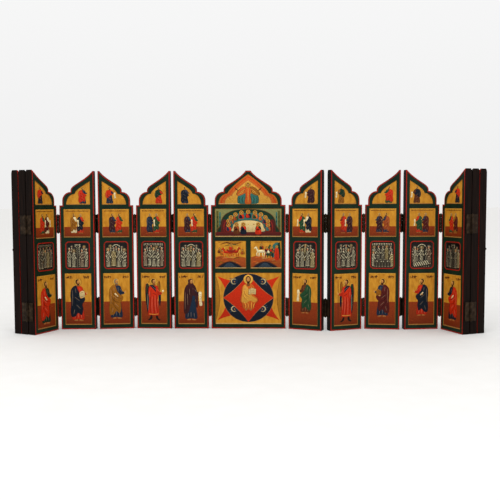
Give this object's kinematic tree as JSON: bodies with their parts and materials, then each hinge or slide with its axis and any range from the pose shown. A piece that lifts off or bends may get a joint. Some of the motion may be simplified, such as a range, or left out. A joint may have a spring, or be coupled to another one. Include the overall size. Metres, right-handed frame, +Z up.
{
  "type": "folding home iconostasis",
  "caption": "Folding screen of painted icon panels with ogee tops, hinged leaf to leaf in a zigzag on both sides of a wide centre panel; stands open on a shelf.",
  "frame": {"origin": "middle of the centre panel's underside, at the level of the shelf", "axes": "+Z up, +X to the right of someone who looks at the painted faces, -Y out of the painted faces"},
  "size_m": [0.9204, 0.1024, 0.317],
  "materials": {
    "painted_board": "tempera and gold over gesso on dark stained wood, varnished",
    "cast_relief": "cast white metal, dark in the hollows",
    "hinge_iron": "blackened iron",
    "clasp_brass": "aged, dull"
  },
  "bodies": {
    "centre": {"centre_panel": "painted_board", "left_hinge_1_upper": "hinge_iron", "left_hinge_1_lower": "hinge_iron", "right_hinge_1_upper": "hinge_iron", "right_hinge_1_lower": "hinge_iron"},
    "left_leaf_1": {"left_leaf_1": "painted_board", "left_plaque_1": "cast_relief", "left_hinge_2_upper": "hinge_iron", "left_hinge_2_lower": "hinge_iron"},
    "left_leaf_2": {"left_leaf_2": "painted_board", "left_plaque_2": "cast_relief", "left_hinge_3_upper": "hinge_iron", "left_hinge_3_lower": "hinge_iron"},
    "left_leaf_3": {"left_leaf_3": "painted_board", "left_plaque_3": "cast_relief", "left_hinge_4_upper": "hinge_iron", "left_hinge_4_lower": "hinge_iron"},
    "left_leaf_4": {"left_leaf_4": "painted_board", "left_plaque_4": "cast_relief", "left_hinge_5_upper": "hinge_iron", "left_hinge_5_lower": "hinge_iron"},
    "left_leaf_5": {"left_leaf_5": "painted_board", "left_plaque_5": "cast_relief", "left_hinge_6_upper": "hinge_iron", "left_hinge_6_lower": "hinge_iron"},
    "left_leaf_6": {"left_leaf_6": "painted_board", "left_plaque_6": "cast_relief", "left_hinge_7_upper": "hinge_iron", "left_hinge_7_lower": "hinge_iron"},
    "left_leaf_7": {"left_leaf_7": "painted_board", "left_plaque_7": "cast_relief", "left_clasp": "clasp_brass"},
    "right_leaf_1": {"right_leaf_1": "painted_board", "right_plaque_1": "cast_relief", "right_hinge_2_upper": "hinge_iron", "right_hinge_2_lower": "hinge_iron"},
    "right_leaf_2": {"right_leaf_2": "painted_board", "right_plaque_2": "cast_relief", "right_hinge_3_upper": "hinge_iron", "right_hinge_3_lower": "hinge_iron"},
    "right_leaf_3": {"right_leaf_3": "painted_board", "right_plaque_3": "cast_relief", "right_hinge_4_upper": "hinge_iron", "right_hinge_4_lower": "hinge_iron"},
    "right_leaf_4": {"right_leaf_4": "painted_board", "right_plaque_4": "cast_relief", "right_hinge_5_upper": "hinge_iron", "right_hinge_5_lower": "hinge_iron"},
    "right_leaf_5": {"right_leaf_5": "painted_board", "right_plaque_5": "cast_relief", "right_hinge_6_upper": "hinge_iron", "right_hinge_6_lower": "hinge_iron"},
    "right_leaf_6": {"right_leaf_6": "painted_board", "right_plaque_6": "cast_relief", "right_hinge_7_upper": "hinge_iron", "right_hinge_7_lower": "hinge_iron"},
    "right_leaf_7": {"right_leaf_7": "painted_board", "right_plaque_7": "cast_relief", "right_clasp": "clasp_brass"}
  },
  "joints": [
    {"name": "left_fold_1", "type": "hinge", "parent": "centre", "child": "left_leaf_1", "pos_m": [-0.0774, -0.0088, 0.128], "axis": [0, 0, 1], "range_deg": [-1.5, 148.5]},
    {"name": "left_fold_2", "type": "hinge", "parent": "left_leaf_1", "child": "left_leaf_2", "pos_m": [-0.15263, 0.00684, 0.128], "axis": [0, 0, -1], "range_deg": [-3, 177]},
    {"name": "left_fold_3", "type": "hinge", "parent": "left_leaf_2", "child": "left_leaf_3", "pos_m": [-0.22787, -0.0088, 0.128], "axis": [0, 0, 1], "range_deg": [-10, 150]},
    {"name": "left_fold_4", "type": "hinge", "parent": "left_leaf_3", "child": "left_leaf_4", "pos_m": [-0.30445, -0.00245, 0.128], "axis": [0, 0, -1], "range_deg": [-5.5, 174.5]},
    {"name": "left_fold_5", "type": "hinge", "parent": "left_leaf_4", "child": "left_leaf_5", "pos_m": [-0.37823, -0.02394, 0.128], "axis": [0, 0, 1], "range_deg": [-64, 116]},
    {"name": "left_fold_6", "type": "hinge", "parent": "left_leaf_5", "child": "left_leaf_6", "pos_m": [-0.42365, -0.08592, 0.128], "axis": [0, 0, -1], "range_deg": [-180, 0]},
    {"name": "left_fold_7", "type": "hinge", "parent": "left_leaf_6", "child": "left_leaf_7", "pos_m": [-0.41063, -0.01019, 0.128], "axis": [0, 0, 1], "range_deg": [-180, 0]},
    {"name": "right_fold_1", "type": "hinge", "parent": "centre", "child": "right_leaf_1", "pos_m": [0.0774, -0.0088, 0.128], "axis": [0, 0, -1], "range_deg": [-21.5, 158.5]},
    {"name": "right_fold_2", "type": "hinge", "parent": "right_leaf_1", "child": "right_leaf_2", "pos_m": [0.15345, -0.01984, 0.128], "axis": [0, 0, 1], "range_deg": [-43.5, 136.5]},
    {"name": "right_fold_3", "type": "hinge", "parent": "right_leaf_2", "child": "right_leaf_3", "pos_m": [0.22939, -0.00814, 0.128], "axis": [0, 0, -1], "range_deg": [-28, 152]},
    {"name": "right_fold_4", "type": "hinge", "parent": "right_leaf_3", "child": "right_leaf_4", "pos_m": [0.30562, 0.00155, 0.128], "axis": [0, 0, 1], "range_deg": [-14, 166]},
    {"name": "right_fold_5", "type": "hinge", "parent": "right_leaf_4", "child": "right_leaf_5", "pos_m": [0.38214, -0.00547, 0.128], "axis": [0, 0, -1], "range_deg": [-74.5, 105.5]},
    {"name": "right_fold_6", "type": "hinge", "parent": "right_leaf_5", "child": "right_leaf_6", "pos_m": [0.42811, -0.06705, 0.128], "axis": [0, 0, 1], "range_deg": [-180, 0]},
    {"name": "right_fold_7", "type": "hinge", "parent": "right_leaf_6", "child": "right_leaf_7", "pos_m": [0.41442, 0.00856, 0.128], "axis": [0, 0, -1], "range_deg": [-180, 0]}
  ]
}
